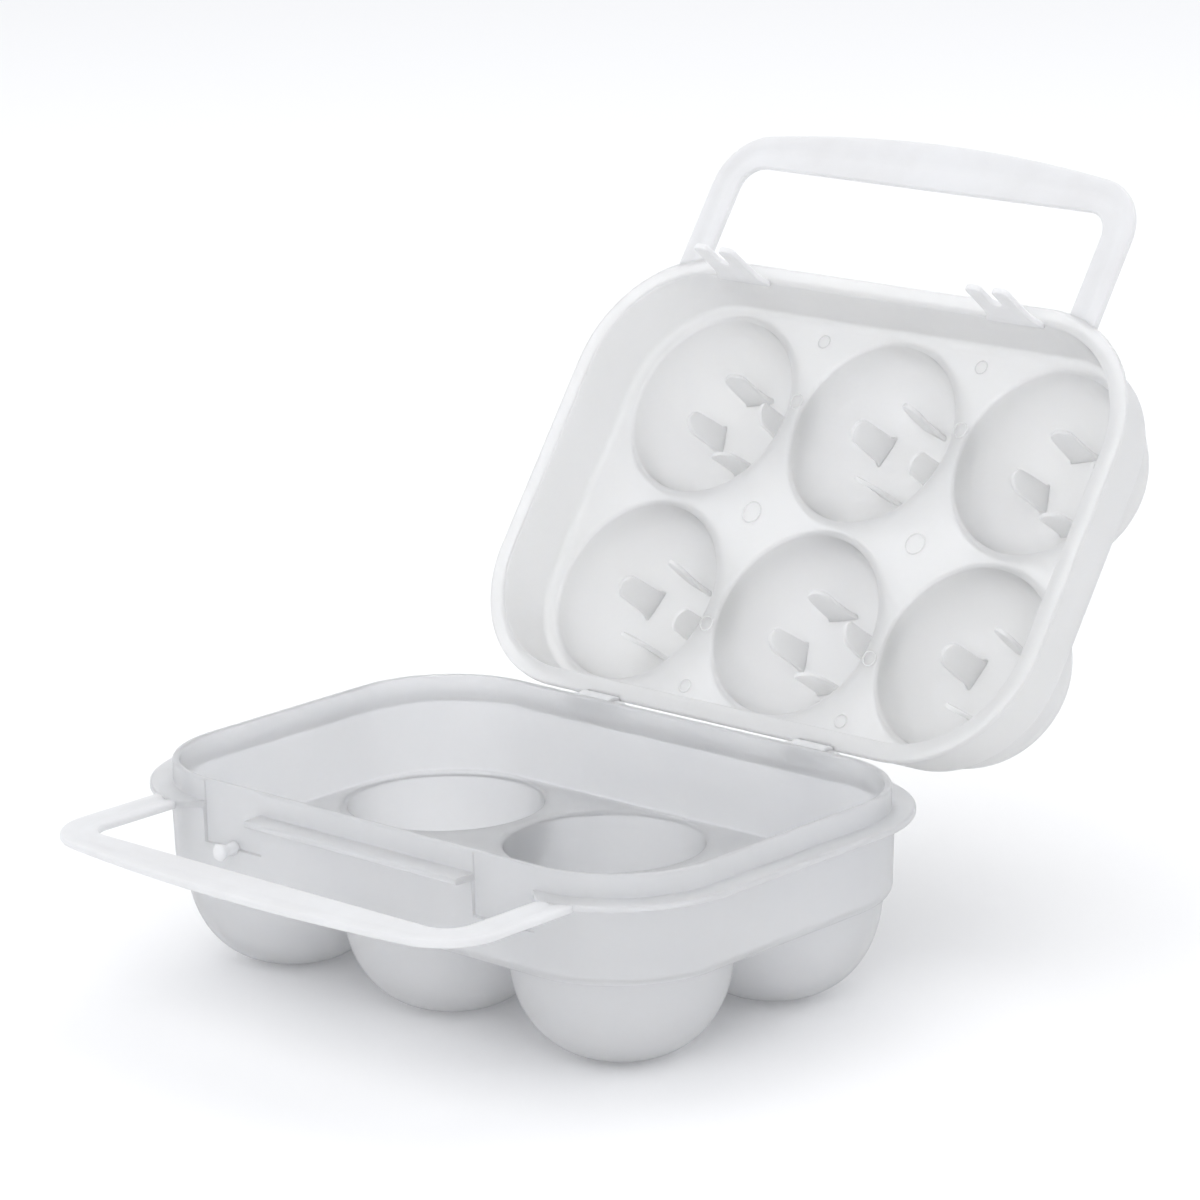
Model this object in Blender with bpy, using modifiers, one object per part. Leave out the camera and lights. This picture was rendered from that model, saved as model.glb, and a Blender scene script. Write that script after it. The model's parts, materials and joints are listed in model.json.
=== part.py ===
"""Carrying carton for six eggs: a tray and a hinged lid in frosted polypropylene.

Metres, +Z up. The tray stands on its six cups, the handles point to -Y and the lid is hinged at
+Y, standing open. The frame's origin is the bottom centre of the open carton's bounding box.
"""
import math

import bmesh
import bpy
from mathutils import Vector

# Egg cups
PITCH_X = 0.0460
PITCH_Y = 0.0457
COLUMNS = {"left": -PITCH_X, "middle": 0.0, "right": PITCH_X}
ROWS = {"front": -PITCH_Y / 2, "rear": PITCH_Y / 2}
CUP_SEGMENTS = 24
CUP_RINGS = 6

# Tray
SKIRT_R = 0.0248  # corner radius of the skirt, centred on the corner cups
TRAY_HALF = (PITCH_X + SKIRT_R, PITCH_Y / 2 + SKIRT_R)
LEDGE_Z = 0.0215  # underside of the deck that joins the cups
RIM_Z = 0.0397  # top of the tray's flange, where the lid closes
LIP_TOP_Z = 0.0444
LIP_INSET = 0.0006
FLANGE_WIDTH = 0.0043
FLANGE_THICK = 0.0014
WALL = 0.0015
DECK_THICK = 0.0014
TRAY_CUP_R = 0.0226
TRAY_CUP_RISE = 0.0266
TRAY_CUP_POWER = 2.5
CUP_WALL = 0.0013
TRAY_HOLE_R = TRAY_CUP_R - CUP_WALL
FOOT_R = 0.0052  # the flat that each cup stands on
CORNER_SEGMENTS = 7
SKIRT_ROUNDING = 0.0022  # of the skirt's lower edge
SKIRT_ROUNDING_SEGMENTS = 2

# Lid, measured from the plane where it closes, with the cups upwards
CLOSING_GAP = 0.0003
LID_DECK = 0.0151
LID_MOUTH_EXTRA = 0.0002  # the lid's opening is this much larger than the skirt, all round
LID_DRAFT = 0.0011
LID_CUP_R = 0.0223
LID_CUP_RISE = 0.0190
LID_CUP_POWER = 2.4
LID_CROWN_R = 0.0035  # the flat at the top of each lid cup
LID_CHAMFER = 0.0008
LID_HOLE_R = LID_CUP_R - CUP_WALL

# Hinge
HINGE_Y = TRAY_HALF[1] + 0.0065
HINGE_Z = RIM_Z + CLOSING_GAP / 2
OPEN_ANGLE = math.radians(125.2)
HINGE_X = 0.0300
PIN_R = 0.0012
EAR_R = 0.0019
EAR_THICK = 0.0020
HOOK_HALF_WIDTH = 0.0045
HOOK_INNER_R = 0.0015
HOOK_OUTER_R = 0.0027
HOOK_MOUTH = 95.0  # degrees
HOOK_MOUTH_TILT = -40.0  # degrees, from behind the lid downwards
EAR_FOOT = (-0.0032, 0.0005)  # where an ear meets the flange, below and above the pin's axis
EAR_ARC = (-75.0, 150.0)  # degrees of an ear's round end
NOTCH_DEPTH = 0.0008
NOTCH_HEIGHT = 0.005

# Handles
HANDLE_HALF = 0.0580
ARM_WIDTH = 0.0076
BAR_OUTER = 0.0853  # from the tray's centre to the bar's outer edge
BAR_WIDTH = 0.0087
BAR_BOW = 0.0013
HANDLE_THICK = 0.00175
HANDLE_OUTER_R = 0.0130
HANDLE_INNER_R = 0.0055
BOW_SHARES = (0.6, 0.2)  # shares of the half bar at which its bow is followed

# Latches
RECESS_X = (0.0297, 0.0460)
RECESS_FLOOR_Z = 0.0311
RECESS_DEPTH = 0.00085
FLANGE_END_X = 0.0504  # outside each recess the flange grows from nothing to its full width here
LATCH_X = sum(RECESS_X) / 2
PEG_Z = RECESS_FLOOR_Z + 0.0001
NECK_R = 0.0012
HEAD_R = 0.0018
NECK_LENGTH = 0.0025
HEAD_LENGTH = 0.0018
HEAD_BULGE = 0.00108  # depth of the round end of a peg's head
TURNED_SEGMENTS = 14  # round a peg or a hinge pin
CLAW_THICK = 0.0013
CLAW_LENGTH = 0.0135
CLAW_ROOT_HALF = 0.0075
CLAW_TIP_HALF = 0.0056
CLAW_SLOT_HALF = 0.0015
CLAW_FLARE_LENGTH = 0.00418
CLAW_FLARE_STEPS = 4
CLAW_TIP_OUTER = (0.0012, 0.0014)  # across and along, of a prong's outer corner
CLAW_TIP_INNER = (0.0010, 0.0012)
CLAW_TILT = math.radians(4.7)
CLAW_ROOT_Y = TRAY_HALF[1] - 0.0004

# Cushioning fingers: four tongues in each lid cup, turned the other way in every second cup
FINGERS_PER_CUP = 4
FINGER_TURN = math.radians(15)
FINGER_ORBIT = 0.0088
FINGER_TIP_HALF = 0.0028
FINGER_ROOT_HALF = 0.0032
FINGER_THICK = 0.0010
FINGER_TIP = 0.0205
FINGER_ROOT = 0.0321

GAP = 0.0003  # between neighbouring solids
CLEAR = 0.002  # how far a cutter runs past what it cuts
AXIS_WELD = 0.00005  # merges the ends of a turned profile on its axis
CURVE_WELD = 1e-6  # merges the walls and caps that a filled curve leaves apart
SAME = 1e-6  # heights closer than this count as equal
SHARP = math.radians(35)
FROSTED = (0.90, 0.91, 0.93, 1.0)
FROSTED_ROUGHNESS = 0.42


def clear_scene():
    for obj in list(bpy.data.objects):
        bpy.data.objects.remove(obj, do_unlink=True)


def collection(name):
    found = bpy.data.collections.new(name)
    bpy.context.scene.collection.children.link(found)
    return found


def frosted_material(name):
    material = bpy.data.materials.new(name)
    material.use_nodes = True
    shader = material.node_tree.nodes["Principled BSDF"]
    shader.inputs["Base Color"].default_value = FROSTED
    shader.inputs["Roughness"].default_value = FROSTED_ROUGHNESS
    shader.inputs["Metallic"].default_value = 0.0
    return material


def mesh_object(name, bm, group, parent=None):
    bmesh.ops.recalc_face_normals(bm, faces=bm.faces)
    mesh = bpy.data.meshes.new(name)
    bm.to_mesh(mesh)
    bm.free()
    obj = bpy.data.objects.new(name, mesh)
    group.objects.link(obj)
    obj.parent = parent
    return obj


def finish_part(obj):
    obj.data.materials.append(frosted_material(obj.name))
    bpy.context.view_layer.objects.active = obj
    obj.data.shade_smooth()
    obj.data.set_sharp_from_angle(angle=SHARP)
    return obj


def as_cutter(obj):
    obj.hide_render = True
    obj.display_type = "WIRE"
    return obj


def boolean(obj, operation, other):
    modifier = obj.modifiers.new(f"{operation.lower()}_{other.name}", "BOOLEAN")
    modifier.operation = operation
    modifier.solver = "EXACT"
    modifier.object = other


def rounded_block(bm, half, radius, low, high, draft=0.0, round_low=0.0, chamfer_high=0.0):
    """A block with round vertical edges, drawn in by `draft` at its top."""
    made = bmesh.ops.create_cube(bm, size=2.0)
    for vert in made["verts"]:
        top = vert.co.z > 0
        inset = draft if top else 0.0
        vert.co.x *= half[0] - inset
        vert.co.y *= half[1] - inset
        vert.co.z = high if top else low
    upright = [e for e in bm.edges if abs(e.verts[0].co.z - e.verts[1].co.z) > (high - low) / 2]
    bmesh.ops.bevel(bm, geom=upright, offset=radius, segments=CORNER_SEGMENTS, profile=0.5,
                    affect="EDGES")
    for level, width, segments in ((low, round_low, SKIRT_ROUNDING_SEGMENTS), (high, chamfer_high, 1)):
        if width:
            ring = [e for e in bm.edges if all(abs(v.co.z - level) < SAME for v in e.verts)]
            bmesh.ops.bevel(bm, geom=ring, offset=width, segments=segments, profile=0.5,
                            affect="EDGES")


def block_object(name, group, *shape, parent=None, **options):
    bm = bmesh.new()
    rounded_block(bm, *shape, **options)
    return mesh_object(name, bm, group, parent)


def cup_profile(radius, rise, power, foot):
    """Superellipse from the edge of the foot, at height 0, up to full radius at `rise`."""
    start = math.asin(min(1.0, (foot / radius) ** (power / 2)))
    points = []
    for step in range(CUP_RINGS + 1):
        angle = start + (math.pi / 2 - start) * step / CUP_RINGS
        out = radius * math.sin(angle) ** (2 / power)
        height = rise * (1 - max(0.0, math.cos(angle)) ** (2 / power))
        points.append((out, height if step else 0.0))
    return points


def wall_section(outer, inner, floor, rim):
    """Half of a cup's cross-section, from the axis up its inside, over the rim and down its outside.

    `outer` and `inner` are superellipse profiles and `floor` is the thickness at the axis. The
    section stops where both sides pass the height `rim`.
    """
    def cut(profile, lift):
        kept = [(out, height + lift) for out, height in profile if height + lift < rim - SAME]
        below, above = kept[-1], next(((o, h + lift) for o, h in profile if h + lift >= rim - SAME), None)
        if above is None:
            return kept + [(below[0], rim)]
        share = (rim - below[1]) / (above[1] - below[1])
        return kept + [(below[0] + share * (above[0] - below[0]), rim)]

    inside, outside = cut(inner, floor), cut(outer, 0.0)
    return [(0.0, floor)] + inside + outside[::-1] + [(0.0, 0.0)]


def make_cup(name, group, parent, place, section, hangs):
    """A turned cup. `place` is the outside of its closed end; one that hangs opens upwards."""
    bm = bmesh.new()
    if hangs:
        path = section
    else:
        path = [(out, -height) for out, height in reversed(section)]
    verts = [bm.verts.new((out, 0.0, height)) for out, height in path]
    for pair in zip(verts, verts[1:]):
        bm.edges.new(pair)
    cup = mesh_object(name, bm, group, parent)
    screw = cup.modifiers.new("turned", "SCREW")
    screw.steps = CUP_SEGMENTS
    screw.render_steps = CUP_SEGMENTS
    screw.use_merge_vertices = True
    screw.merge_threshold = AXIS_WELD
    cup.location = place
    return finish_part(cup)


def six_holes(name, group, radius, low, high, parent):
    """Cutter for the openings that a deck has over its cups."""
    bm = bmesh.new()
    for x in COLUMNS.values():
        for y in ROWS.values():
            made = bmesh.ops.create_cone(bm, cap_ends=True, segments=2 * CUP_SEGMENTS, radius1=radius,
                                         radius2=radius, depth=high - low)
            bmesh.ops.translate(bm, verts=made["verts"], vec=(x, y, (low + high) / 2))
    return mesh_object(name, bm, group, parent)


def flat_plate(name, outline, thickness, group):
    """A plate filled inside `outline`, centred on its own z = 0, as a welded mesh."""
    curve = bpy.data.curves.new(name, "CURVE")
    curve.dimensions = "2D"
    curve.fill_mode = "BOTH"
    curve.extrude = thickness / 2
    spline = curve.splines.new("POLY")
    spline.points.add(len(outline) - 1)
    for point, (x, y) in zip(spline.points, outline):
        point.co = (x, y, 0.0, 1.0)
    spline.use_cyclic_u = True
    drawn = bpy.data.objects.new(name + "_outline", curve)
    group.objects.link(drawn)
    depsgraph = bpy.context.evaluated_depsgraph_get()
    depsgraph.update()
    mesh = bpy.data.meshes.new_from_object(drawn.evaluated_get(depsgraph))
    bm = bmesh.new()
    bm.from_mesh(mesh)
    bmesh.ops.remove_doubles(bm, verts=bm.verts, dist=CURVE_WELD)
    bpy.data.objects.remove(drawn, do_unlink=True)
    return mesh_object(name, bm, group)


def arc(centre, radius, start, end, steps):
    """Points on an arc, angles in degrees."""
    points = []
    for k in range(steps + 1):
        angle = math.radians(start + (end - start) * k / steps)
        points.append((centre[0] + radius * math.cos(angle), centre[1] + radius * math.sin(angle)))
    return points


def handle_outline():
    """The bail seen from above, from the flange round the bar and back."""
    root_r = SKIRT_R + FLANGE_WIDTH + GAP
    inner = HANDLE_HALF - ARM_WIDTH

    def root_y(x):
        return ROWS["front"] - math.sqrt(root_r**2 - (x - PITCH_X) ** 2)

    def bowed(x, y):
        return x, y - BAR_BOW * (1 - (x / HANDLE_HALF) ** 2)

    outer_side = [(HANDLE_HALF, root_y(HANDLE_HALF))]
    corner = (HANDLE_HALF - HANDLE_OUTER_R, -BAR_OUTER + BAR_BOW + HANDLE_OUTER_R)
    outer_side += [bowed(*p) if p[0] < corner[0] + SAME else p
                   for p in arc(corner, HANDLE_OUTER_R, 0, -90, 8)]
    outer_side += [bowed(corner[0] * share, -BAR_OUTER + BAR_BOW) for share in BOW_SHARES]
    half_root = [(inner + ARM_WIDTH * k / 3, root_y(inner + ARM_WIDTH * k / 3)) for k in (2, 1, 0)]
    inner_corner = (inner - HANDLE_INNER_R, -BAR_OUTER + BAR_BOW + BAR_WIDTH + HANDLE_INNER_R)
    inner_side = arc(inner_corner, HANDLE_INNER_R, 0, -90, 5)
    inner_side += [bowed(inner_corner[0] * share, inner_corner[1] - HANDLE_INNER_R)
                   for share in BOW_SHARES]
    left = [(-x, y) for x, y in outer_side[::-1] + half_root + inner_side]
    return outer_side + left + inner_side[::-1] + half_root[:0:-1]


def make_tray(group, cutters, root):
    """The deck that joins the cups, with its skirt, lip, flange and latch recesses."""
    tray = block_object("base_tray", group, TRAY_HALF, SKIRT_R, LEDGE_Z, RIM_Z - FLANGE_THICK / 2,
                        parent=root, round_low=SKIRT_ROUNDING)
    lip_half = [h - LIP_INSET for h in TRAY_HALF]
    flange_half = [h + FLANGE_WIDTH for h in TRAY_HALF]
    inner_half = [h - LIP_INSET - WALL for h in TRAY_HALF]
    lip = block_object("tray_lip", cutters, lip_half, SKIRT_R - LIP_INSET,
                       LEDGE_Z + SKIRT_ROUNDING + CLEAR, LIP_TOP_Z, parent=root)
    flange = block_object("tray_flange", cutters, flange_half, SKIRT_R + FLANGE_WIDTH,
                          RIM_Z - FLANGE_THICK, RIM_Z, parent=root)
    room = block_object("tray_room", cutters, inner_half, SKIRT_R - LIP_INSET - WALL,
                        LEDGE_Z + DECK_THICK, LIP_TOP_Z + CLEAR, parent=root)
    holes = six_holes("tray_holes", cutters, TRAY_HOLE_R, LEDGE_Z - CLEAR, LEDGE_Z + DECK_THICK + CLEAR,
                      root)
    for other in (lip, flange):
        boolean(tray, "UNION", as_cutter(other))
    for other in (room, holes):
        boolean(tray, "DIFFERENCE", as_cutter(other))
    for side in (-1, 1):
        bm = bmesh.new()
        bmesh.ops.create_cube(bm, size=1.0)
        near, far = RECESS_X
        low = Vector((min(side * near, side * far), -flange_half[1] - CLEAR, RECESS_FLOOR_Z))
        high = Vector((max(side * near, side * far), -TRAY_HALF[1] + RECESS_DEPTH, LIP_TOP_Z + CLEAR))
        place_box(bm, low, high)
        recess = mesh_object(f"latch_recess_{side}", bm, cutters, root)
        boolean(tray, "DIFFERENCE", as_cutter(recess))
        boolean(tray, "DIFFERENCE", as_cutter(flange_end(f"flange_end_{side}", side, cutters, root)))
        notch = hinge_notch(f"tray_notch_{side}", side, cutters, root, RIM_Z - NOTCH_HEIGHT,
                            RIM_Z + CLEAR)
        boolean(tray, "DIFFERENCE", as_cutter(notch))
    return finish_part(tray)


def flange_end(name, side, cutters, root):
    """Cuts the flange's end at an angle, from the recess out to the handle's root."""
    start = RECESS_X[1] - GAP
    wall_y = -TRAY_HALF[1] - GAP
    edge_y = -TRAY_HALF[1] - FLANGE_WIDTH
    outline = [(start, wall_y), (FLANGE_END_X, edge_y), (FLANGE_END_X, edge_y - CLEAR),
               (start, edge_y - CLEAR)]
    wedge = flat_plate(name, [(side * x, y) for x, y in outline], FLANGE_THICK + 2 * GAP, cutters)
    wedge.parent = root
    wedge.location.z = RIM_Z - FLANGE_THICK / 2
    return wedge


def place_box(bm, low, high):
    for vert in bm.verts:
        vert.co = [(low[i] + high[i]) / 2 + vert.co[i] * (high[i] - low[i]) for i in range(3)]


def hinge_notch(name, side, cutters, parent, low_z, high_z):
    """Room for a hook where a flange's rear edge passes the hinge."""
    bm = bmesh.new()
    bmesh.ops.create_cube(bm, size=1.0)
    rear = TRAY_HALF[1] + FLANGE_WIDTH
    half = HOOK_HALF_WIDTH + GAP
    low = Vector((side * HINGE_X - half, rear - NOTCH_DEPTH, low_z))
    high = Vector((side * HINGE_X + half, rear + CLEAR, high_z))
    place_box(bm, low, high)
    return mesh_object(name, bm, cutters, parent)


def make_lid(group, cutters, closed):
    mouth_half = [h + LID_MOUTH_EXTRA for h in TRAY_HALF]
    mouth_r = SKIRT_R + LID_MOUTH_EXTRA
    outer_half = [h + WALL for h in mouth_half]
    flange_half = [h + FLANGE_WIDTH for h in TRAY_HALF]
    base = RIM_Z + CLOSING_GAP
    deck = RIM_Z + LID_DECK
    deck_top = deck + DECK_THICK
    lid = block_object("lid_shell", group, outer_half, mouth_r + WALL, base + FLANGE_THICK / 2,
                       deck_top, parent=closed, draft=LID_DRAFT, chamfer_high=LID_CHAMFER)
    flange = block_object("lid_flange", cutters, flange_half, SKIRT_R + FLANGE_WIDTH, base,
                          base + FLANGE_THICK, parent=closed)
    room = block_object("lid_room", cutters, mouth_half, mouth_r, base - CLEAR / 2, deck, parent=closed,
                        draft=LID_DRAFT, chamfer_high=LID_CHAMFER)
    holes = six_holes("lid_holes", cutters, LID_HOLE_R, deck - CLEAR, deck_top + CLEAR, closed)
    boolean(lid, "UNION", as_cutter(flange))
    for other in (room, holes):
        boolean(lid, "DIFFERENCE", as_cutter(other))
    for side in (-1, 1):
        notch = hinge_notch(f"lid_notch_{side}", side, cutters, closed, RIM_Z, RIM_Z + NOTCH_HEIGHT)
        boolean(lid, "DIFFERENCE", as_cutter(notch))
    return finish_part(lid)


def make_handle(name, group, parent, middle_z):
    handle = flat_plate(name, handle_outline(), HANDLE_THICK, group)
    handle.parent = parent
    handle.location.z = middle_z
    return finish_part(handle)


def make_peg(name, group, root, x):
    """A headed stud on the skirt, its axis along -Y."""
    dome_base = NECK_LENGTH + HEAD_LENGTH - HEAD_BULGE
    dome = [(HEAD_R * math.cos(a), dome_base + HEAD_BULGE * math.sin(a))
            for a in (0.0, math.radians(45), math.radians(75))]
    outline = dome[::-1] + [(HEAD_R, NECK_LENGTH), (NECK_R, NECK_LENGTH), (NECK_R, 0.0)]
    profile = [(0.0, outline[0][1])] + outline + [(0.0, 0.0)]
    bm = bmesh.new()
    verts = [bm.verts.new((out, 0.0, along)) for out, along in profile]
    for pair in zip(verts, verts[1:]):
        bm.edges.new(pair)
    peg = mesh_object(name, bm, group, root)
    screw = peg.modifiers.new("turned", "SCREW")
    screw.steps = TURNED_SEGMENTS
    screw.render_steps = TURNED_SEGMENTS
    screw.use_merge_vertices = True
    screw.merge_threshold = AXIS_WELD
    peg.rotation_euler = (math.pi / 2, 0.0, 0.0)
    peg.location = (x, -TRAY_HALF[1] - GAP, PEG_Z)
    return finish_part(peg)


def claw_outline():
    """The forked tab seen from the front: x across, y down from its root."""
    flare = CLAW_ROOT_HALF - CLAW_TIP_HALF
    shares = [k / CLAW_FLARE_STEPS for k in range(CLAW_FLARE_STEPS + 1)]
    side = [(CLAW_TIP_HALF + flare * (1 - s) ** 2, -CLAW_FLARE_LENGTH * s) for s in shares]
    side += [(CLAW_TIP_HALF, -CLAW_LENGTH + CLAW_TIP_OUTER[1]),
             (CLAW_TIP_HALF - CLAW_TIP_OUTER[0], -CLAW_LENGTH),
             (CLAW_SLOT_HALF + CLAW_TIP_INNER[0], -CLAW_LENGTH),
             (CLAW_SLOT_HALF, -CLAW_LENGTH + CLAW_TIP_INNER[1])]
    slot_centre = (0.0, PEG_Z - RIM_Z)
    slot = arc(slot_centre, CLAW_SLOT_HALF, 0, 90, 4)
    half = side + slot
    return half + [(-x, y) for x, y in reversed(half[:-1])]


def make_claw(name, group, closed, x):
    claw = flat_plate(name, claw_outline(), CLAW_THICK, group)
    claw.parent = closed
    claw.rotation_euler = (math.pi / 2 - CLAW_TILT, 0.0, 0.0)
    claw.location = (x, -CLAW_ROOT_Y - CLAW_THICK / 2, RIM_Z)
    return finish_part(claw)


def make_bracket(name, group, cutters, root, x):
    """Two ears behind the tray's flange with the hinge pin between them, one solid."""
    rear = TRAY_HALF[1] + FLANGE_WIDTH + GAP
    foot_low, foot_high = EAR_FOOT
    outline = [(rear - HINGE_Y, foot_high), (rear - HINGE_Y, foot_low)]
    outline += arc((0.0, 0.0), EAR_R, *EAR_ARC, 9)
    ears = []
    for side in (-1, 1):
        ear = flat_plate(f"{name}_ear_{side}", outline, EAR_THICK, cutters)
        ear.rotation_euler = (math.pi / 2, 0.0, math.pi / 2)
        ear.location = (x + side * (HOOK_HALF_WIDTH + GAP + EAR_THICK / 2), HINGE_Y, HINGE_Z)
        ear.parent = root
        ears.append(ear)
    bm = bmesh.new()
    span = 2 * (HOOK_HALF_WIDTH + GAP) + EAR_THICK
    bmesh.ops.create_cone(bm, cap_ends=True, segments=TURNED_SEGMENTS, radius1=PIN_R, radius2=PIN_R,
                          depth=span)
    pin = mesh_object(name, bm, group, root)
    pin.rotation_euler = (0.0, math.pi / 2, 0.0)
    pin.location = (x, HINGE_Y, HINGE_Z)
    for ear in ears:
        boolean(pin, "UNION", as_cutter(ear))
    return finish_part(pin)


def make_hook(name, group, closed, x):
    """A C-shaped hook on the lid's rear edge that snaps over the pin."""
    start = HOOK_MOUTH_TILT + HOOK_MOUTH / 2
    end = HOOK_MOUTH_TILT - HOOK_MOUTH / 2 + 360
    outer = arc((0.0, 0.0), HOOK_OUTER_R, start, end, 14)
    inner = arc((0.0, 0.0), HOOK_INNER_R, end, start, 14)
    hook = flat_plate(name, outer + inner, 2 * HOOK_HALF_WIDTH, group)
    hook.parent = closed
    hook.rotation_euler = (math.pi / 2, 0.0, math.pi / 2)
    hook.location = (x, HINGE_Y, HINGE_Z)
    return finish_part(hook)


def make_finger(name, group, closed, cup, angle):
    """A flexible tongue standing in a lid cup, its round end towards the egg."""
    length = FINGER_ROOT - FINGER_TIP
    end = arc((0.0, length - FINGER_TIP_HALF), FINGER_TIP_HALF, 0, 180, 8)
    outline = [(-FINGER_ROOT_HALF, 0.0), (FINGER_ROOT_HALF, 0.0)] + end
    finger = flat_plate(name, outline, FINGER_THICK, group)
    finger.parent = closed
    finger.rotation_euler = (-math.pi / 2, 0.0, angle - math.pi / 2)
    finger.location = (cup[0] + FINGER_ORBIT * math.cos(angle), cup[1] + FINGER_ORBIT * math.sin(angle),
                       RIM_Z + FINGER_ROOT)
    return finish_part(finger)


def centre_over_origin(root, parts):
    """Move the whole carton along Y until its bounding box is centred on the frame."""
    bpy.context.view_layer.update()
    depsgraph = bpy.context.evaluated_depsgraph_get()
    depths = []
    for part in parts:
        placed = part.evaluated_get(depsgraph)
        depths += [(placed.matrix_world @ vert.co).y for vert in placed.data.vertices]
    root.location.y = -(min(depths) + max(depths)) / 2


def main():
    clear_scene()
    group = collection("egg_carton")
    cutters = collection("cutters")
    root = bpy.data.objects.new("carton_frame", None)
    group.objects.link(root)
    hinge = bpy.data.objects.new("lid_hinge", None)
    group.objects.link(hinge)
    hinge.parent = root
    hinge.location = (0.0, HINGE_Y, HINGE_Z)
    hinge.rotation_euler = (-OPEN_ANGLE, 0.0, 0.0)
    closed = bpy.data.objects.new("closed_lid_frame", None)
    group.objects.link(closed)
    closed.parent = hinge
    closed.location = (0.0, -HINGE_Y, -HINGE_Z)

    parts = [make_tray(group, cutters, root), make_lid(group, cutters, closed)]
    parts.append(make_handle("base_handle", group, root, RIM_Z - HANDLE_THICK / 2))
    parts.append(make_handle("lid_handle", group, closed, RIM_Z + CLOSING_GAP + HANDLE_THICK / 2))
    for side, sign in (("left", -1), ("right", 1)):
        parts.append(make_peg(f"latch_peg_{side}", group, root, sign * LATCH_X))
        parts.append(make_claw(f"latch_claw_{side}", group, closed, sign * LATCH_X))
        parts.append(make_bracket(f"hinge_bracket_{side}", group, cutters, root, sign * HINGE_X))
        parts.append(make_hook(f"hinge_hook_{side}", group, closed, sign * HINGE_X))
    tray_section = wall_section(
        cup_profile(TRAY_CUP_R, TRAY_CUP_RISE, TRAY_CUP_POWER, FOOT_R),
        cup_profile(TRAY_CUP_R - CUP_WALL, TRAY_CUP_RISE - CUP_WALL, TRAY_CUP_POWER, FOOT_R),
        CUP_WALL, LEDGE_Z - GAP)
    lid_section = wall_section(
        cup_profile(LID_CUP_R, LID_CUP_RISE, LID_CUP_POWER, LID_CROWN_R),
        cup_profile(LID_CUP_R - CUP_WALL, LID_CUP_RISE + DECK_THICK - CUP_WALL, LID_CUP_POWER, LID_CROWN_R),
        CUP_WALL, LID_CUP_RISE - GAP)
    apex = RIM_Z + LID_DECK + DECK_THICK + LID_CUP_RISE
    for row, y in ROWS.items():
        for column, x in COLUMNS.items():
            parts.append(make_cup(f"tray_cup_{row}_{column}", group, root, (x, y, 0.0), tray_section, True))
            parts.append(make_cup(f"lid_cup_{row}_{column}", group, closed, (x, y, apex), lid_section, False))
    turn = -FINGER_TURN
    for row, y in ROWS.items():
        for column, x in COLUMNS.items():
            for number in range(FINGERS_PER_CUP):
                angle = turn + 2 * math.pi * number / FINGERS_PER_CUP
                name = f"finger_{row}_{column}_{number + 1}"
                parts.append(make_finger(name, group, closed, (x, y), angle))
            turn = -turn
    centre_over_origin(root, parts)


main()
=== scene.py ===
"""Egg carrier for six eggs, standing open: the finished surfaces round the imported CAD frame.

Lengths are in metres. Tray pieces are made about the middle of the tray, with z up from the
surface that it stands on. Lid pieces are made in the same place, as if the lid were closed, and
are then turned back about the hinge to where the frame holds them.
"""

import json
import math

import bmesh
import bpy
from mathutils import Matrix, Vector


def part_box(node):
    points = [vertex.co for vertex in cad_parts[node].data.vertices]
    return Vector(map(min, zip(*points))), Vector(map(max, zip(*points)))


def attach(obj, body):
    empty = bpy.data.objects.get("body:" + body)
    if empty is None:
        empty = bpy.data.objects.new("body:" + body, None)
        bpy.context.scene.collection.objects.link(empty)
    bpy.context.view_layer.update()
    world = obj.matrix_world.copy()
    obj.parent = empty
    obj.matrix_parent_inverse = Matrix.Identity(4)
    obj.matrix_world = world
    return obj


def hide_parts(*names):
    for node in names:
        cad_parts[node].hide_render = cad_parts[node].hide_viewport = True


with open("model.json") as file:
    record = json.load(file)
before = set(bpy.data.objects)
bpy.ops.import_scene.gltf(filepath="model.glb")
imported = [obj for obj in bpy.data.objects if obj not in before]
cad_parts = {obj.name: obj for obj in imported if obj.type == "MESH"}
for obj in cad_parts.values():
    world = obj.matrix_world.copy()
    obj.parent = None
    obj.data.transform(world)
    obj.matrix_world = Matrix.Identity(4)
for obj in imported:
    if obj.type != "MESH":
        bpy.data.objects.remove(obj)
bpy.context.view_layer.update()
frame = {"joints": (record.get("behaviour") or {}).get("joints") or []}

# Plan
PITCH_X = 0.0460
PITCH_Y = 0.0457
HALF_CELL = (PITCH_X / 2, PITCH_Y / 2)
SKIRT_R = 0.0248  # the skirt's corner, concentric with the corner cups
COLUMNS = {"left": -1, "middle": 0, "right": 1}
ROWS = {"front": -1, "rear": 1}
SPOKES = 96  # round each cup; a multiple of 8, so that spokes meet the cells' corners
SPOKE_CLEAR = 0.012  # share of a half cell that even spokes keep from a feature's spokes

# Heights
LEDGE_Z = 0.0215
RIM_Z = 0.0397
LIP_TOP_Z = 0.0444
DECK = 0.0014
CUP_WALL = 0.0013
LID_BASE_Z = RIM_Z + 0.0003
LID_DECK_Z = RIM_Z + 0.0151
LID_TOP_Z = LID_DECK_Z + DECK
LID_RISE = 0.0190

# Cups, as superellipses: (radius, rise, power)
TRAY_BOWL = (0.0213, 0.0253, 2.5)
TRAY_CUP = (0.0226, 0.0266, 2.5)
LID_BOWL = (0.0210, LID_RISE + DECK - CUP_WALL, 2.4)
LID_DOME = (0.0223, LID_RISE, 2.4)
MOUTH_R = 0.00085  # rounding where a cup meets its deck, inside
CUP_STEPS = 20

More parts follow.
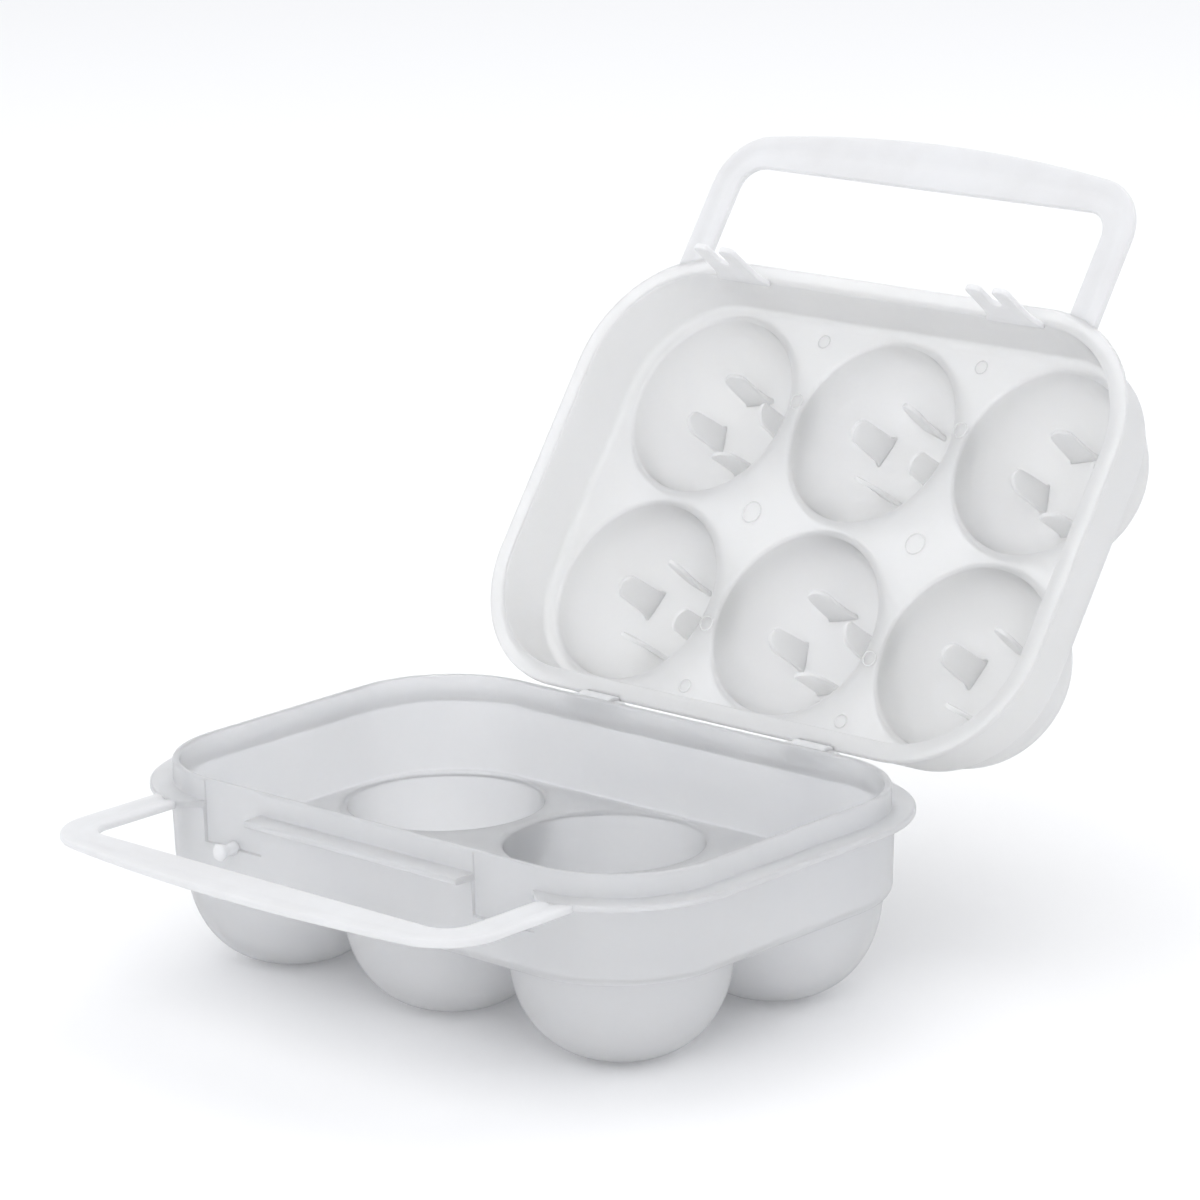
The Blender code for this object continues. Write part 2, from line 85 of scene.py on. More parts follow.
# Walls and flanges, in steps outwards from the skirt's face
FLANGE_WIDTH = 0.0043
FLANGE_THICK = 0.0014
FLANGE_R = 0.0005
LIP_OUT = -0.0006
INNER_OUT = -0.0021
RECESS_OUT = -0.00085
RECESS_X = (0.0297, 0.0460)
RECESS_Z = 0.0311
SLANT_X = 0.0504
HINGE_X = 0.0300
NOTCH_HALF = 0.0048
NOTCH_SHARE = 3.5 / 4.3
STEP = 0.0001  # half the width of a moulded step

# Handles, latches, hinge and fingers
HANDLE_SHIFT = 0.00004  # keeps a handle's face off its flange's
LATCH_X = sum(RECESS_X) / 2
PEG_Z = RECESS_Z + 0.0001
CLAW_TILT = math.radians(4.7)
CLAW_FACE_Y = -0.04725
HOOK_HALF = 0.0045
EAR_THICK = 0.0020
GAP = 0.0003
PLATE_EDGE = 0.0002
FINGER_OUT = 0.0088
FINGER_ROOT_Z = RIM_Z + 0.0321
FINGER_TURN = math.radians(15)
FINGERS_PER_CUP = 4

QUARTER = math.pi / 2
SAME = 1e-6  # spokes and points nearer than this are one

joint = frame["joints"][0]
hinge_line = Vector(joint["pos_m"])
open_angle = math.radians(joint["range_deg"][1])
tray_low, tray_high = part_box("base_tray")
tray_middle = Vector((0.0, (tray_low.y + tray_high.y) / 2, 0.0))
HINGE = Vector((0.0, hinge_line.y - tray_middle.y, hinge_line.z))  # seen from the tray's middle

TRAY_PLACE = Matrix.Translation(tray_middle)
LID_PLACE = (Matrix.Translation(hinge_line) @ Matrix.Rotation(-open_angle, 4, "X")
             @ Matrix.Translation(-HINGE))


# ---------------------------------------------------------------- meshes

def add_piece(name, bm, body, nodes, place, material, sharp=40.0):
    """Turns a bmesh into a shown piece that stands for `nodes` and rides on `body`."""
    bmesh.ops.remove_doubles(bm, verts=bm.verts, dist=SAME)
    bmesh.ops.dissolve_degenerate(bm, edges=bm.edges, dist=SAME / 10)
    bmesh.ops.recalc_face_normals(bm, faces=bm.faces)
    bmesh.ops.transform(bm, matrix=place, verts=bm.verts)
    mesh = bpy.data.meshes.new(name)
    bm.to_mesh(mesh)
    bm.free()
    mesh.shade_smooth()
    mesh.set_sharp_from_angle(angle=math.radians(sharp))
    mesh.materials.append(material)
    piece = bpy.data.objects.new(name, mesh)
    bpy.context.scene.collection.objects.link(piece)
    even = piece.modifiers.new("even_normals", "WEIGHTED_NORMAL")
    even.keep_sharp = True
    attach(piece, body)
    if nodes:
        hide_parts(*nodes)


def arc(centre, radius, start, end, steps):
    """Points on an arc or, with a pair of radii, an elliptical one. Angles in degrees."""
    rx, ry = radius if isinstance(radius, tuple) else (radius, radius)
    angles = [math.radians(start + (end - start) * k / steps) for k in range(steps + 1)]
    return [(centre[0] + rx * math.cos(a), centre[1] + ry * math.sin(a)) for a in angles]


def superellipse(radius, rise, power, low, high, steps):
    """(distance out, height) up a cup's side, between two distances out from its axis."""
    def angle(out):
        return math.asin(min(1.0, (out / radius) ** (power / 2)))
    start, end = angle(low), angle(high)
    points = []
    for k in range(steps + 1):
        a = start + (end - start) * k / steps
        points.append((radius * math.sin(a) ** (2 / power),
                       rise * (1 - max(0.0, math.cos(a)) ** (2 / power))))
    return points


def out_at(radius, rise, power, height):
    """Distance out from a cup's axis at a height above its closed end."""
    return radius * (1 - (1 - height / rise) ** power) ** (1 / power)


def square_spokes(extra):
    """Directions round a cup as points on the unit square, with the `extra` ones among them."""
    found = []
    for k in range(SPOKES):
        a = 2 * math.pi * k / SPOKES
        reach = max(abs(math.cos(a)), abs(math.sin(a)))
        found.append((math.cos(a) / reach, math.sin(a) / reach))
    found = [p for p in found
             if all(abs(p[1] - e[1]) > SAME or abs(p[0] - e[0]) > SPOKE_CLEAR for e in extra)]
    return sorted(found + list(extra), key=lambda p: math.atan2(p[1], p[0]))


def feature_spokes(sx, sy):
    """Where the latch recesses, the slanted flange ends and the hinge notches need their edges."""
    if not sx:
        return []
    if sy < 0:
        places = [RECESS_X[0] - STEP, RECESS_X[0] + STEP, RECESS_X[1] - 2 * STEP, RECESS_X[1]]
        spokes = [(sx * (x - PITCH_X) / HALF_CELL[0], float(sy)) for x in places]
        slant = math.asin((SLANT_X - PITCH_X) / (SKIRT_R + FLANGE_WIDTH))
        return spokes + [(sx * math.tan(slant * share), float(sy)) for share in (0.5, 1.0)]
    places = [HINGE_X + side * (NOTCH_HALF + step)
              for side in (-1, 1) for step in (-STEP, STEP)]
    return [(sx * (x - PITCH_X) / HALF_CELL[0], float(sy)) for x in places]


def rim_point(sx, sy, spoke, out):
    """(x, y, on the outline?) where a spoke meets the outline `out` outside the skirt's face."""
    u, v = spoke
    cx, cy = sx * PITCH_X, sy * PITCH_Y / 2
    reach = SKIRT_R + out
    if sx and u * sx >= -SAME and v * sy >= -SAME:
        a = math.atan2(v, u)
        return cx + reach * math.cos(a), cy + reach * math.sin(a), True
    if v * sy > 1 - SAME:
        return cx + HALF_CELL[0] * u, cy + sy * reach, True
    if sx and u * sx > 1 - SAME:
        return cx + sx * reach, cy + HALF_CELL[1] * v, True
    return cx + HALF_CELL[0] * u, cy + HALF_CELL[1] * v, False


def tray_wall(x, y, out, z):
    """How far out the tray's wall is, with its recesses, slanted flange ends and hinge notches."""
    side = abs(x)
    if y < 0:
        if RECESS_X[0] < side < RECESS_X[1] - STEP:
            return min(out, RECESS_OUT) if z > RECESS_Z else min(out, 0.0)
        if RECESS_X[1] - STEP <= side < SLANT_X - STEP and out > 0:
            return out * (side - RECESS_X[1]) / (SLANT_X - RECESS_X[1])
    elif abs(side - HINGE_X) < NOTCH_HALF and out > 0:
        return out * NOTCH_SHARE
    return out


def lid_wall(x, y, out, _z):
    """How far out the lid's wall is, with its hinge notches."""
    if y > 0 and abs(abs(x) - HINGE_X) < NOTCH_HALF and out > 0:
        return min(out, FLANGE_WIDTH * NOTCH_SHARE)
    return out


def neighbours(ring):
    """(index, next index) right round a closed ring."""
    return [(k, (k + 1) % len(ring)) for k in range(len(ring))]


def cup_face(bm, cup, spokes, profile, border_out, border_z):
    """Skins one side of a cup and the deck round it, and returns the deck's border.

    `cup` is its (column sign, row sign), and `profile` is (distance from its axis, z) outwards.
    """
    sx, sy = cup
    cx, cy = sx * PITCH_X, sy * PITCH_Y / 2
    angles = [math.atan2(v, u) for u, v in spokes]
    centre = bm.verts.new((cx, cy, profile[0][1]))
    rings = [[bm.verts.new((cx + r * math.cos(a), cy + r * math.sin(a), z)) for a in angles]
             for r, z in profile[1:]]
    mouth = profile[-1][0]
    for share in (0.4, 1.0):  # of the way from the cup's mouth to the border
        ring = []
        for spoke, a in zip(spokes, angles):
            x, y, _ = rim_point(sx, sy, spoke, border_out)
            ring.append(bm.verts.new((
                cx + (1 - share) * mouth * math.cos(a) + share * (x - cx),
                cy + (1 - share) * mouth * math.sin(a) + share * (y - cy),
                border_z)))
        rings.append(ring)
    for k, n in neighbours(spokes):
        bm.faces.new((centre, rings[0][k], rings[0][n]))
        for low, high in zip(rings, rings[1:]):
            bm.faces.new((low[k], low[n], high[n], high[k]))
    return rings[-1]


def moulding(inside, wall, outside, adjust):
    """One closed shell with six cups.

    `inside` and `outside` are (distance from the cup's axis, z) from the axis outwards, `wall` is
    (step out from the skirt's face, z) from the inside deck round the rim to the outside deck, and
    `adjust` moves a step out where the wall has a feature.
    """
    bm = bmesh.new()
    for sx in COLUMNS.values():
        for sy in ROWS.values():
            spokes = square_spokes(feature_spokes(sx, sy))
            first = cup_face(bm, (sx, sy), spokes, inside, *wall[0])
            final = cup_face(bm, (sx, sy), spokes, outside, *wall[-1])
            columns = []
            for index, spoke in enumerate(spokes):
                base_x, base_y, outer = rim_point(sx, sy, spoke, 0.0)
                if not outer:
                    columns.append(None)
                    continue
                column = [first[index]]
                for out, z in wall[1:-1]:
                    x, y, _ = rim_point(sx, sy, spoke, adjust(base_x, base_y, out, z))
                    column.append(bm.verts.new((x, y, z)))
                columns.append(column + [final[index]])
            for k, n in neighbours(columns):
                if columns[k] and columns[n]:
                    for a, b, c, d in zip(columns[k], columns[k][1:], columns[n][1:], columns[n]):
                        bm.faces.new((a, b, c, d))
    return bm


def loft(bm, sections):
    """A closed skin over closed sections of equal length, capped at both ends."""
    rings = [[bm.verts.new(p) for p in section] for section in sections]
    for low, high in zip(rings, rings[1:]):
        for k, n in neighbours(low):
            bm.faces.new((low[k], low[n], high[n], high[k]))
    bm.faces.new(rings[0])
    bm.faces.new(list(reversed(rings[-1])))


def turned(bm, profile, place, steps=40):
    """A closed solid of revolution about place's z axis, from (distance out, height) points."""
    ends = [bm.verts.new(place @ Vector((0.0, 0.0, profile[i][1]))) for i in (0, -1)]
    rings = []
    for r, z in profile[1:-1]:
        rings.append([bm.verts.new(place @ Vector((r * math.cos(a), r * math.sin(a), z)))
                      for a in (2 * math.pi * k / steps for k in range(steps))])
    for k, n in neighbours(rings[0]):
        bm.faces.new((ends[0], rings[0][k], rings[0][n]))
        bm.faces.new((ends[1], rings[-1][n], rings[-1][k]))
        for low, high in zip(rings, rings[1:]):
            bm.faces.new((low[k], low[n], high[n], high[k]))


def inset(outline, distance):
    """The closed outline, which runs anticlockwise, drawn in by `distance`."""
    sharpest = 0.5  # keeps a very sharp corner from moving too far
    moved = []
    for k, point in enumerate(outline):
        before, after = Vector(outline[k - 1]), Vector(outline[(k + 1) % len(outline)])
        here = Vector(point)
        into, onward = (here - before).normalized(), (after - here).normalized()
        first, second = Vector((-into.y, into.x)), Vector((-onward.y, onward.x))
        moved.append(here + (first + second) * distance / max(sharpest, 1 + first.dot(second)))
    return moved


def plate(bm, outline, thickness, edge, place):
    """A flat plate inside an anticlockwise outline, with its edges rounded by `edge`."""
    sections = []
    for end, degrees in ((-1, (90, 60, 30, 0)), (1, (0, 30, 60, 90))):
        for a in (math.radians(d) for d in degrees):
            z = end * (thickness / 2 - edge * (1 - math.sin(a)))
            sections.append([place @ Vector((*point, z))
                             for point in inset(outline, edge * (1 - math.cos(a)))])
    loft(bm, sections)


def edge_on(x):
    """A place at the hinge line where a plate's outline stands up, seen along the hinge line."""
    return (Matrix.Translation((x, HINGE.y, HINGE.z)) @ Matrix.Rotation(QUARTER, 4, "Z")
            @ Matrix.Rotation(QUARTER, 4, "X"))


# ---------------------------------------------------------------- materials

def polypropylene(name, colour, shade, rough, transmission, cloud_scale, depth=0.9):
    """Frosted polypropylene: light spreads through it, under a fine mould texture and soft sheen.

    Its colour drifts in clouds between `shade` and `colour`, and its roughness in smaller patches
    round `rough`. `depth` is the share of the light that scatters under its surface.
    """
    material = bpy.data.materials.new(name)
    material.use_nodes = True
    nodes, links = material.node_tree.nodes, material.node_tree.links
    shader = nodes["Principled BSDF"]
    shader.inputs["IOR"].default_value = 1.49
    shader.inputs["Transmission Weight"].default_value = transmission
    shader.inputs["Subsurface Weight"].default_value = depth
    shader.inputs["Subsurface Radius"].default_value = (1.0, 0.98, 0.95)
    shader.inputs["Subsurface Scale"].default_value = 0.004
    shader.inputs["Specular IOR Level"].default_value = 0.42
    where = nodes.new("ShaderNodeTexCoord")

    def noise(scale, detail, roughness=0.5):
        node = nodes.new("ShaderNodeTexNoise")
        node.inputs["Scale"].default_value = scale
        node.inputs["Detail"].default_value = detail
        node.inputs["Roughness"].default_value = roughness
        links.new(where.outputs["Object"], node.inputs["Vector"])
        return node

    cloud = noise(cloud_scale, detail=4.0, roughness=0.6)
    ramp = nodes.new("ShaderNodeValToRGB")
    cloud_range = (0.34, 0.64)
    for element, position, tone in zip(ramp.color_ramp.elements, cloud_range, (shade, colour)):
        element.position = position
        element.color = (*tone, 1.0)
    links.new(cloud.outputs["Fac"], ramp.inputs["Fac"])
    links.new(ramp.outputs["Color"], shader.inputs["Base Color"])

    smaller, smoothest, roughest = 2.3, rough - 0.07, rough + 0.08
    patch = noise(cloud_scale * smaller, detail=3.0)
    spread = nodes.new("ShaderNodeMapRange")
    spread.inputs["From Min"].default_value = 0.3
    spread.inputs["From Max"].default_value = 0.7
    spread.inputs["To Min"].default_value = smoothest
    spread.inputs["To Max"].default_value = roughest
    links.new(patch.outputs["Fac"], spread.inputs["Value"])
    links.new(spread.outputs["Result"], shader.inputs["Roughness"])

    grain_scale, grain_depth = 2600.0, 0.000008
    fine = noise(grain_scale, detail=2.0, roughness=0.7)
    bump = nodes.new("ShaderNodeBump")
    bump.inputs["Strength"].default_value = 0.5
    bump.inputs["Distance"].default_value = grain_depth
    links.new(fine.outputs["Fac"], bump.inputs["Height"])
    links.new(bump.outputs["Normal"], shader.inputs["Normal"])
    return material


TRAY_STUFF = polypropylene("frosted_tray", colour=(0.94, 0.945, 0.96), shade=(0.89, 0.895, 0.91),
                           rough=0.40, transmission=0.62, cloud_scale=38.0, depth=0.8)
LID_STUFF = polypropylene("frosted_lid", colour=(0.985, 0.985, 0.99), shade=(0.96, 0.96, 0.95),
                          rough=0.42, transmission=0.48, cloud_scale=30.0)
# The bails' colour is a darker copy of the plastic: painted shade, toned down because their
# upturned faces catch the most light.
HANDLE_STUFF_PAINTED_SHADE = polypropylene("handles_painted_shade", colour=(0.77, 0.775, 0.79),
                             shade=(0.73, 0.73, 0.74), rough=0.39, transmission=0.20,
                             cloud_scale=55.0)
LATCH_STUFF = polypropylene("smooth_latches", colour=(0.80, 0.805, 0.82), shade=(0.76, 0.76, 0.77),
                            rough=0.38, transmission=0.12, cloud_scale=120.0)
HINGE_STUFF = polypropylene("smooth_hinges", colour=(0.80, 0.805, 0.82), shade=(0.76, 0.76, 0.77),
                            rough=0.38, transmission=0.12, cloud_scale=140.0)
# The fingers' colour is a whiter copy of the plastic: painted light that lifts the shade they stand
# in inside the domes.
FINGER_STUFF_PAINTED_LIGHT = polypropylene("fingers_painted_light", colour=(0.995, 0.995, 0.995),
                             shade=(0.98, 0.98, 0.98), rough=0.42, transmission=0.08,
                             cloud_scale=160.0)
# The ejector rings' colour is darker than the lid's: painted shade for the dark outlines round
# their raised edges.
RING_STUFF_PAINTED_SHADE = polypropylene("ejector_rings_painted_shade", colour=(0.84, 0.84, 0.84), shade=(0.74, 0.74, 0.73),
                           rough=0.38, transmission=0.0, cloud_scale=300.0, depth=0.0)


# ---------------------------------------------------------------- tray and lid

def cup_nodes(kind):
    """The CAD nodes of the six cups of the tray or the lid."""
    return [f"{kind}_cup_{row}_{column}" for row in ROWS for column in COLUMNS]


def make_tray():
    """The tray with its cups, latch recesses, lip and flange."""
    flat, foot = [0.0, 0.0018, 0.0040], 0.0052  # rings on the flat foot; where its curve starts
    deck_z = LEDGE_Z + DECK
    mouth = out_at(*TRAY_BOWL, deck_z - CUP_WALL - MOUTH_R)
    inside = [(r, CUP_WALL) for r in flat]
    inside += [(r, CUP_WALL + z) for r, z in superellipse(*TRAY_BOWL, foot, mouth, CUP_STEPS)]
    inside += arc((mouth + MOUTH_R, deck_z - MOUTH_R), MOUTH_R, 180, 90, 4)[1:]
    throat = 0.00012
    neck = out_at(*TRAY_CUP, LEDGE_Z - throat)
    outside = [(r, 0.0) for r in flat]
    outside += superellipse(*TRAY_CUP, foot, neck, CUP_STEPS)
    outside += [(neck + throat, LEDGE_Z)]

    fillet, crown, root = 0.00045, 0.00055, 0.0003
    under_z = RIM_Z - FLANGE_THICK
    wall = arc((INNER_OUT - fillet, deck_z + fillet), fillet, -90, 0, 3)
    wall += [(INNER_OUT, z) for z in (0.0275, 0.0345, 0.0400)]
    wall += arc((INNER_OUT + crown, LIP_TOP_Z - crown), crown, 180, 90, 4)
    wall += arc((LIP_OUT - crown, LIP_TOP_Z - crown), crown, 90, 0, 4)
    wall += arc((LIP_OUT + root, RIM_Z + root), root, 180, 270, 3)
    wall += [(0.0012, RIM_Z)]
    wall += arc((FLANGE_WIDTH - FLANGE_R, RIM_Z - FLANGE_R), FLANGE_R, 90, 0, 4)
    wall += arc((FLANGE_WIDTH - FLANGE_R, under_z + FLANGE_R), FLANGE_R, 0, -90, 4)
    wall += arc((root, under_z - root), root, 90, 180, 3)

    draft, low_round = 0.00045, (0.00175, 0.0026)
    slope = draft / (under_z - LEDGE_Z - low_round[1])
    wall += [(-slope * (under_z - z), z)
             for z in (0.0360, RECESS_Z + STEP, RECESS_Z - STEP, 0.0277)]
    wall += arc((-draft - low_round[0], LEDGE_Z + low_round[1]), low_round, 0, -90, 6)
    add_piece("tray_moulding", moulding(inside, wall, outside, tray_wall), "tray",
              ["base_tray"] + cup_nodes("tray"), TRAY_PLACE, TRAY_STUFF)


def make_lid():
    """The lid with its domed cups, drafted wall and flange."""
    flat, foot = [0.0, 0.0015], 0.0035  # rings on a dome's flat crown; where its curve starts
    crown_z = LID_TOP_Z + LID_RISE
    hollow_z = crown_z - CUP_WALL
    mouth = out_at(*LID_BOWL, hollow_z - LID_DECK_Z - MOUTH_R)
    inside = [(r, hollow_z) for r in flat]
    inside += [(r, hollow_z - z) for r, z in superellipse(*LID_BOWL, foot, mouth, CUP_STEPS)]
    inside += arc((mouth + MOUTH_R, LID_DECK_Z + MOUTH_R), MOUTH_R, 180, 270, 4)[1:]
    throat = 0.00045
    neck = out_at(*LID_DOME, LID_RISE - throat)
    outside = [(r, crown_z) for r in flat]
    outside += [(r, crown_z - z) for r, z in superellipse(*LID_DOME, foot, neck, CUP_STEPS)]
    outside += arc((neck + throat, LID_TOP_Z + throat), throat, 180, 270, 3)[1:]

    draft, mouth_out, thick = 0.0011, 0.0002, 0.0015
    cove, lip, root, shoulder = 0.0020, 0.00035, 0.0004, 0.0016
    slope = draft / (LID_DECK_Z - LID_BASE_Z)
    deep = mouth_out - draft
    upper_z = LID_BASE_Z + FLANGE_THICK

    def face(out, heights):
        return [(out - slope * (z - LID_BASE_Z), z) for z in heights]

    wall = arc((deep - cove, LID_DECK_Z - cove), cove, 90, 0, 6)
    wall += face(mouth_out, (0.0490, 0.0450))
    wall += arc((mouth_out + lip, LID_BASE_Z + lip), lip, 180, 270, 3)
    wall += [(0.0018, LID_BASE_Z)]
    wall += arc((FLANGE_WIDTH - FLANGE_R, LID_BASE_Z + FLANGE_R), FLANGE_R, -90, 0, 4)
    wall += arc((FLANGE_WIDTH - FLANGE_R, upper_z - FLANGE_R), FLANGE_R, 0, 90, 4)
    wall += arc((mouth_out + thick + root, upper_z + root), root, 270, 180, 3)
    wall += face(mouth_out + thick, (0.0460, 0.0505))
    wall += arc((deep + thick - shoulder, LID_TOP_Z - shoulder), shoulder, 0, 90, 6)
    add_piece("lid_moulding", moulding(inside, wall, outside, lid_wall), "lid",
              ["lid_shell"] + cup_nodes("lid"), LID_PLACE, LID_STUFF)


def make_ejector_rings():
    """Fine raised rings that the ejector pins left on the lid's deck, inside."""
    steps = 40
    section = [(0.00017, 0.0002), (0.00015, -0.00006), (0.00006, -0.00014),
               (-0.00006, -0.00014), (-0.00015, -0.00006), (-0.00017, 0.0002)]
    rings = [(0.0230, y, 0.00165) for y in (-0.0270, 0.0270)] + [(0.0230, 0.0, 0.0024)]
    rings += [(0.0220, y, 0.0015) for y in (-0.0418, 0.0418)]
    bm = bmesh.new()
    for x, y, radius in rings:
        for side in (-1, 1):
            loops = []
            for a in (2 * math.pi * k / steps for k in range(steps)):
                loops.append([bm.verts.new((side * x + (radius + r) * math.cos(a),
                                            y + (radius + r) * math.sin(a), LID_DECK_Z + z))
                              for r, z in section])
            for k, n in neighbours(loops):
                for c, d in neighbours(section):
                    bm.faces.new((loops[k][c], loops[k][d], loops[n][d], loops[n][c]))
    # the rings' darker material is painted shade, not a colour of their own
    add_piece("lid_ejector_rings", bm, "lid", [], LID_PLACE, RING_STUFF_PAINTED_SHADE, sharp=60)


# ---------------------------------------------------------------- handles

def handle_stations():
    """(inner edge, outer edge) pairs in plan, from the right-hand root to the left-hand one."""
    half, width = 0.0580, 0.0076
    bar_outer, bar_inner, bow, straight = -0.0860, -0.0751, 0.0029, 0.0450
    outer_r, inner_r = 0.0130, 0.0055
    sunk = SKIRT_R + FLANGE_WIDTH - 0.0004
    turn = 90 - math.degrees(math.atan(2 * bow / straight))
    inner_x = half - width

    def root(x):
        return Vector((x, -PITCH_Y / 2 - math.sqrt(sunk ** 2 - (x - PITCH_X) ** 2)))

    def bowed(x):
        return Vector((x, bar_outer + bow * (x / straight) ** 2))

    end_x = half - outer_r + outer_r * math.cos(math.radians(turn))
    corner_out = (half - outer_r, bowed(end_x).y + outer_r * math.sin(math.radians(turn)))
    corner_in = (inner_x - inner_r, bar_inner + inner_r)
    arm_in, arm_out = Vector((inner_x, corner_in[1])), Vector((half, corner_out[1]))
    pairs = [(root(inner_x).lerp(arm_in, share), root(half).lerp(arm_out, share))
             for share in (0.0, 0.04, 0.3, 0.65)]
    pairs += [(Vector(i), Vector(o)) for i, o in zip(arc(corner_in, inner_r, 0, -90, 12),
                                                     arc(corner_out, outer_r, 0, -turn, 12))]
    pairs += [(Vector((corner_in[0] * share, bar_inner)), bowed(end_x * share))
              for share in (0.8, 0.6, 0.4, 0.2, 0.0)]
    return pairs + [(Vector((-i.x, i.y)), Vector((-o.x, o.y))) for i, o in reversed(pairs[:-1])]


def make_handle(name, body, place, top, up):
    """A bail with rounded edges and a shallow valley along its face. `up` is 1 or -1."""
    thick, valley = 0.0017, 0.00038
    valley_from, valley_wide = 0.2, 0.6  # as shares of the bail's width
    face_edge = [(0.0, -0.00062), (0.00006, -0.00036), (0.00022, -0.00014), (0.00048, -0.00002)]
    under_edge = [(0.0, 0.00055), (0.0001, 0.0003), (0.0003, 0.0001), (0.0006, 0.0)]
    sections = []
    for inner, outer in handle_stations():
        across = (outer - inner).normalized()
        width = (outer - inner).length
        profile = list(face_edge)
        profile += [(width * s,
                     -valley * math.sin(math.pi * (s - valley_from) / valley_wide) ** 2)
                    for s in (0.2, 0.3, 0.4, 0.5, 0.6, 0.7, 0.8)]
        profile += [(width - d, z) for d, z in reversed(face_edge)]
        profile += [(width - d, z - thick) for d, z in under_edge]
        profile += [(d, z - thick) for d, z in reversed(under_edge)]
        sections.append([(*(inner + across * d), top + up * z) for d, z in profile])
    bm = bmesh.new()
    loft(bm, sections)
    # the bail's material carries painted shade: a darker copy of the same plastic
    add_piece(name + "_moulding", bm, body, [name], place, HANDLE_STUFF_PAINTED_SHADE, sharp=50)


# ---------------------------------------------------------------- latches

def make_peg(name, x):
    """A stud whose round head stands off the skirt on a waisted neck."""
    root, head_r, head_rise, head_z, end_z = 0.0010, 0.0018, 0.0009, 0.0034, 0.0043
    neck = [(0.00145, -root), (0.00145, 0.0002), (0.00126, 0.0005), (0.0012, 0.0010),
            (0.0012, 0.0022), (0.00135, 0.00255), (0.00158, 0.0027)]
    head = [(head_r * math.cos(a), head_z + head_rise * math.sin(a))
            for a in (math.radians(d) for d in (-30, -10, 10, 30, 48, 64, 78))]
    place = (Matrix.Translation((x, -PITCH_Y / 2 - SKIRT_R, PEG_Z))
             @ Matrix.Rotation(QUARTER, 4, "X"))
    bm = bmesh.new()
    turned(bm, [(0.0, -root)] + neck + head + [(0.0, end_z)], place)
    add_piece(name + "_moulding", bm, "tray", [name], TRAY_PLACE, LATCH_STUFF, sharp=60)


def make_claw(name, x):
    """A forked tab whose two prongs pass on each side of a peg's neck."""
    half, flare, flare_drop, length, slot = 0.0056, 0.0019, 0.0048, 0.0135, 0.0015
    sunk, thick, edge = 0.0009, 0.0013, 0.0003
    outer_corner, inner_corner, flare_steps = 0.0015, 0.0013, 8
    side = [(half + flare, sunk), (half + flare, 0.0)]
    side += [(half + flare * (1 - k / flare_steps) ** 2, -flare_drop * k / flare_steps)
             for k in range(1, flare_steps + 1)]
    side += [(half, -length + outer_corner + STEP)]
    side += arc((half - outer_corner, -length + outer_corner), outer_corner, 0, -90, 5)[1:]
    side += arc((slot + inner_corner, -length + inner_corner), inner_corner, -90, -180, 5)
    side += arc((0.0, PEG_Z - RIM_Z), slot, 0, 90, 7)
    outline = [(-px, py) for px, py in side] + side[-2::-1]
    place = (Matrix.Translation((x, CLAW_FACE_Y - thick / 2, RIM_Z))
             @ Matrix.Rotation(QUARTER - CLAW_TILT, 4, "X"))
    bm = bmesh.new()
    plate(bm, outline, thick, edge, place)
    add_piece(name + "_moulding", bm, "lid", [name], LID_PLACE, LATCH_STUFF)


# ---------------------------------------------------------------- hinge

def make_bracket(name, x):
    """Two ears on the tray's rear flange and the pin between them."""
    ear_r, pin_r, pin_end_r, bevel = 0.0019, 0.0012, 0.0010, 0.0002
    rear = PITCH_Y / 2 + SKIRT_R + FLANGE_WIDTH - HINGE.y
    sunk = rear - 0.0006
    outline = [(rear + GAP, 0.0005), (rear + GAP, -0.0003), (sunk, -0.0004),  # foot on the flange
               (sunk, -0.0014), (rear + GAP, -0.0032)]
    outline += arc((0.0, 0.0), ear_r, -75, 150, 20)
    half = HOOK_HALF + GAP + EAR_THICK / 2
    bm = bmesh.new()
    for side in (-1, 1):
        plate(bm, outline, EAR_THICK, PLATE_EDGE, edge_on(x + side * half))
    pin = [(0.0, -half), (pin_end_r, -half), (pin_r, -half + bevel),
           (pin_r, half - bevel), (pin_end_r, half), (0.0, half)]
    along = Matrix.Translation((x, HINGE.y, HINGE.z)) @ Matrix.Rotation(QUARTER, 4, "Y")
    turned(bm, pin, along, 32)
    add_piece(name + "_moulding", bm, "tray", [name], TRAY_PLACE, HINGE_STUFF)


def make_hook(name, x):
    """An open clip that snaps over the pin, joined to the lid's rear flange."""
    outer_r, inner_r, mouth, opens_towards = 0.0027, 0.0015, 95, -40  # angles in degrees
    tail_end, tail_top, tail_low = -0.0033, 0.00145, 0.00025
    start, end = opens_towards + mouth / 2, opens_towards + 360 - mouth / 2
    leave = 180 - math.degrees(math.asin(tail_top / outer_r))
    back = 180 - math.degrees(math.asin(tail_low / outer_r))
    outline = arc((0.0, 0.0), outer_r, start, leave, 16)
    outline += [(tail_end, tail_top), (tail_end, tail_low)]
    outline += arc((0.0, 0.0), outer_r, back, end, 12) + arc((0.0, 0.0), inner_r, end, start, 26)
    bm = bmesh.new()
    plate(bm, outline, 2 * HOOK_HALF, PLATE_EDGE, edge_on(x))
    add_piece(name + "_moulding", bm, "lid", [name], LID_PLACE, HINGE_STUFF)


# ---------------------------------------------------------------- fingers

